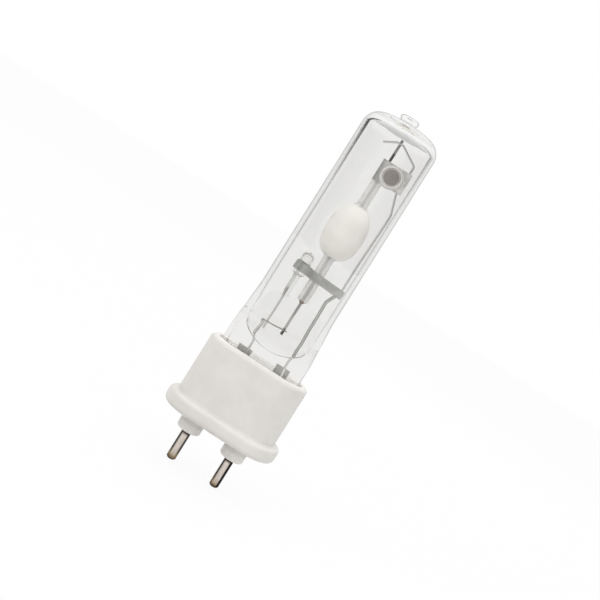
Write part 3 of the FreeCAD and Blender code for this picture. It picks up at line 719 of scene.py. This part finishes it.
def strap_metal():
    """Mottled, with two bands of painted shade in the strap's left half, where it curves round the capsule."""
    s = metal("strap_metal", (0.50, 0.50, 0.48), (0.64, 0.64, 0.62), 0.34, (0.15, 1, 1), 0.2)
    tarnish_and_painted_shade(s, s.grey_ramp(s.along("X", *STRAP_ENDS), STRAP_PAINTED_SHADE), 0.3, (0.29, 0.29, 0.28))
    return s.material


def getter_plate_metal():
    """Blotchy sheet, darker toward its left edge."""
    s = metal("getter_plate_metal", (0.50, 0.495, 0.48), (0.95, 0.94, 0.92), 0.36, (0.5, 1, 1), 1.1)
    tarnish_and_painted_shade(s, s.along("X", *PLATE_DARKER_LEFT), 0.3, (0.36, 0.36, 0.35))
    return s.material


def niobium():
    """Dark grey, and almost black over the upper seal and at the lower end."""
    s = metal("niobium", (0.30, 0.295, 0.285), (0.46, 0.45, 0.44), 0.38, DRAWN, 0.15)
    plain = s.mix(s.height(*LOWER_LEAD), s.colour_so_far(), (0.56, 0.55, 0.53))
    burnt = s.maths("SUBTRACT", s.height(*UPPER_SEAL), s.height(*UPPER_SEAL_END))
    burnt = s.maths("ADD", burnt, s.height(*LOWER_END))
    s.colour(s.mix(burnt, plain, (0.05, 0.048, 0.045)))
    return s.material


def alumina():
    """Translucent: the wires in the bore show through the thin stems, not through the wide middle."""
    s = Shader("alumina")
    s.set(IOR=1.5, Subsurface_Weight=0.5, Subsurface_Scale=1.0 * MM, Subsurface_Radius=(1.0, 0.95, 0.88))
    middle = s.distance((BURNER_X, 0, 0), (1, 1, 0), *BURNER_STEM)
    pale = s.ramp(s.noise(2.5, 4.0), (0.3, (0.78, 0.755, 0.71)), (0.7, (0.84, 0.815, 0.77)))
    s.colour(s.mix(middle, (0.79, 0.785, 0.77), pale))
    s.roughness(s.noise(0.5, 3.0), 0.34, 0.46)
    s.bump(s.noise(0.2, 4.0), 0.006)
    s.let_through(s.scale(middle, 0.6, 0.0), (0.94, 0.938, 0.93))
    return s.material


def frit():
    s = Shader("frit")
    s.set(IOR=1.6, Coat_Weight=0.5)
    s.colour(s.ramp(s.noise(0.3, 4.0), (0.3, (0.16, 0.11, 0.085)), (0.7, (0.30, 0.22, 0.17))))
    s.roughness(s.noise(0.3, 3.0), 0.2, 0.45)
    s.bump(s.noise(0.25, 3.0), 0.02)
    return s.material


def getter_powder():
    """Dark powder pressed into the cup, with a lighter rim."""
    s = Shader("getter_powder")
    s.set(Metallic=0.2)
    powder = s.ramp(s.noise(0.25, 6.0, 0.7), (0.3, (0.20, 0.18, 0.17)), (0.75, (0.34, 0.31, 0.29)))
    rim = s.distance(GETTER_CENTRE, (1, 0, 1), *GETTER_RIM)
    s.colour(s.mix(rim, powder, (0.56, 0.53, 0.51)))
    s.roughness(s.noise(0.3, 4.0), 0.55, 0.85)
    s.bump(s.noise(0.15, 6.0, 0.7), 0.03)
    return s.material


def getter_cup_metal():
    """Turned sheet with painted rings of light and shade over its lip, standing in for the glints and shading
    of its ridges; satin so that its sloping inside stays light.
    """
    s = metal("getter_cup_metal", (0.60, 0.58, 0.56), (0.98, 0.96, 0.94), 0.34, size=0.5, depth=0.03)
    s.set(Metallic=0.35)
    rings = s.ramp(s.distance(GETTER_CENTRE, (1, 0, 1), *GETTER_RINGS), *RING_LIGHT_AND_SHADE)
    shaded = s.add("ShaderNodeVectorMath", operation="MULTIPLY")
    s.feed(shaded.inputs[0], s.colour_so_far())
    s.feed(shaded.inputs[1], rings)
    s.colour(shaded.outputs[0])
    return s.material


def seal_lead():
    """Bright where it lies on the foil, grey above it."""
    s = metal("seal_lead", *WIRE_SHADES, 0.3, DRAWN, 0.15)
    s.set(Metallic=0.5)
    # painted shade on the lead's long edges
    wire = s.edge_shade(s.colour_so_far(), (0.3, 0.3, 0.29), EDGE_SHADE_TURN)
    s.colour(s.mix(s.height(*FOIL_WELD), wire, (0.97, 0.97, 0.95)))
    return s.material


def dress_nodes():
    """Puts a material on every CAD node but the two glass ones."""
    plain = {name: metal(name, **look).material for name, look in PLAIN_METALS.items()}
    by_slot = {
        "ceramic": ceramic(), "cement": cement(), "pin_metal": pin_metal(), "alumina": alumina(),
        "frit": frit(), "niobium": niobium(), "getter_powder": getter_powder(),
        "strap_metal": strap_metal(), **plain,
    }
    by_node = {
        "getter_plate": getter_plate_metal(), "getter_cup": getter_cup_metal(),
        "inner_lead_right": seal_lead(), "link_wire": plain["link_metal"],
        "frame_wire_lower": plain["dull_wire"], "enhancer_foil": plain["bright_foil"],
    }
    for name, node in frame["nodes"].items():
        if name in ("outer_bulb", "enhancer_bulb"):
            continue
        for slot in node.material_slots:
            slot.material = by_node.get(name) or by_slot[slot.material.name.split(".")[0]]


# Stage

def floor():
    """Pale floor that shows the background's white and keeps the lamp's shadow."""
    mesh = bpy.data.meshes.new("floor")
    z = cad_low[2]
    corners = [(x * FLOOR_REACH, y * FLOOR_REACH, z) for x, y in ((-1, -1), (1, -1), (1, 1), (-1, 1))]
    mesh.from_pydata(corners, [], [(0, 1, 2, 3)])
    obj = placed("floor", mesh)
    s = Shader("floor_pale")
    s.set(Roughness=0.8)
    s.colour(s.grey_ramp(s.noise(300.0), ((0.3, 0.68), (0.7, 0.71))))
    path = s.add("ShaderNodeLightPath").outputs
    seen = s.maths("MAXIMUM", path["Is Camera Ray"], path["Is Transmission Ray"])
    seen = s.maths("MAXIMUM", seen, s.maths("MULTIPLY", path["Is Glossy Ray"], FLOOR_GLOSSY_GLOW))
    glow = s.add("ShaderNodeEmission")
    s.feed(glow.inputs[0], grey(1.0))
    s.blended(s.maths("MULTIPLY", seen, FLOOR_GLOW), glow)
    mesh.materials.append(s.material)


def world():
    """White where it is seen directly or through glass; a soft studio where it lights or is mirrored."""
    studio = bpy.data.worlds.new("studio")
    bpy.context.scene.world = studio
    n = Nodes(studio)

    def soft(value, reach, levels):
        return n.span(value, *reach, *levels, interpolation_type="SMOOTHSTEP")

    def some(count):
        return n.maths("GREATER_THAN", count, 0.5)

    def none(count):
        return n.maths("LESS_THAN", count, 0.5)

    def choose(factor, a, b):
        node = n.add("ShaderNodeMix")
        for index, value in ((0, factor), (2, a), (3, b)):
            n.feed(node.inputs[index], value)
        return node.outputs[0]

    split = n.add("ShaderNodeSeparateXYZ")
    n.feed(split.inputs[0], n.add("ShaderNodeTexCoord").outputs["Generated"])
    right, rise = split.outputs["X"], split.outputs["Z"]
    depth = n.maths("ABSOLUTE", split.outputs["Y"], 0.0)
    path = n.add("ShaderNodeLightPath").outputs
    entered, bounced = path["Transmission Depth"], path["Glossy Depth"]

    ambient = soft(rise, (0.0, 1.0), AMBIENT)
    level = n.maths("ADD", soft(depth, TO_FRONT, MIRRORED_SIDES), soft(right, TO_RIGHT, (0.0, MIRRORED_RIGHT)))
    above = n.maths("MULTIPLY", none(entered), soft(rise, UPWARD, (0.0, MIRRORED_ABOVE)))
    in_wall = n.maths("MULTIPLY", some(entered), n.maths("LESS_THAN", entered, MOST_WALL_CROSSINGS))
    trapped = n.maths("MULTIPLY", n.maths("GREATER_THAN", bounced, TRAPPED_REFLECTIONS), some(entered))
    in_the_open = n.maths("ADD", level, above)
    mirrored = choose(n.maths("MAXIMUM", in_wall, trapped), in_the_open, MIRRORED_IN_GLASS)
    lit = choose(some(bounced), ambient, mirrored)
    through = n.maths("MULTIPLY", path["Is Transmission Ray"], none(bounced))
    seen = n.maths("MAXIMUM", path["Is Camera Ray"], through)

    back = n.add("ShaderNodeBackground")
    n.feed(back.inputs["Color"], grey(1.0))
    n.feed(back.inputs["Strength"], choose(seen, lit, 1.0))
    n.feed(n.add("ShaderNodeOutputWorld").inputs["Surface"], back.outputs[0])


def lamps():
    """Soft area lamps that light the lamp but aren't seen in its metal or through its glass."""
    for name, place, size, power in LAMPS:
        data = bpy.data.lights.new(name, "AREA")
        data.shape = "RECTANGLE"
        data.size, data.size_y = size
        data.energy = power
        obj = placed(name, data)
        obj.location = place
        obj.rotation_euler = (Vector(LAMP_AIM) - Vector(place)).to_track_quat("-Z", "Y").to_euler()
        obj.visible_glossy = False
        obj.visible_transmission = False


def camera():
    data = bpy.data.cameras.new("camera")
    data.sensor_width = CAMERA_SENSOR
    data.lens = CAMERA_LENS
    data.shift_x, data.shift_y = CAMERA_SHIFT
    data.clip_start, data.clip_end = CAMERA_CLIP
    obj = placed("camera", data)
    s, c = math.sin(CAMERA_YAW), math.cos(CAMERA_YAW)
    sr, cr = math.sin(CAMERA_ROLL), math.cos(CAMERA_ROLL)
    across = Vector((c, -s, 0))
    rise = Vector((0, 0, 1))
    right = cr * across + sr * rise
    up = -sr * across + cr * rise
    back = Vector((-s, -c, 0))
    place = Matrix((right, up, back)).transposed().to_4x4()
    place.translation = Vector((-CAMERA_DISTANCE * s, -CAMERA_DISTANCE * c, CAMERA_HEIGHT)) * MM
    obj.matrix_world = place
    bpy.context.scene.camera = obj


def render_paths():
    """Enough bounces for light to cross both walls of both glass pieces."""
    scene = bpy.context.scene
    scene.view_settings.view_transform = "Standard"
    scene.cycles.max_bounces = 28
    scene.cycles.transmission_bounces = 24
    scene.cycles.glossy_bounces = 12
    scene.cycles.transparent_max_bounces = 24


def main():
    dress_nodes()
    bulb = glass_pair("quartz", BULB_TINT, BULB_WAVE, BULB_LINE)
    glass_piece("bulb_glass", "outer_bulb", bulb_outer_rings(), bulb_inner_rings(), bulb)
    capsule = glass_pair("capsule_quartz", CAPSULE_TINT, CAPSULE_WAVE, CAPSULE_LINE)
    glass_piece("capsule_glass", "enhancer_bulb", capsule_outer_rings(), capsule_inner_rings(), capsule)
    floor()
    world()
    lamps()
    camera()
    render_paths()


main()
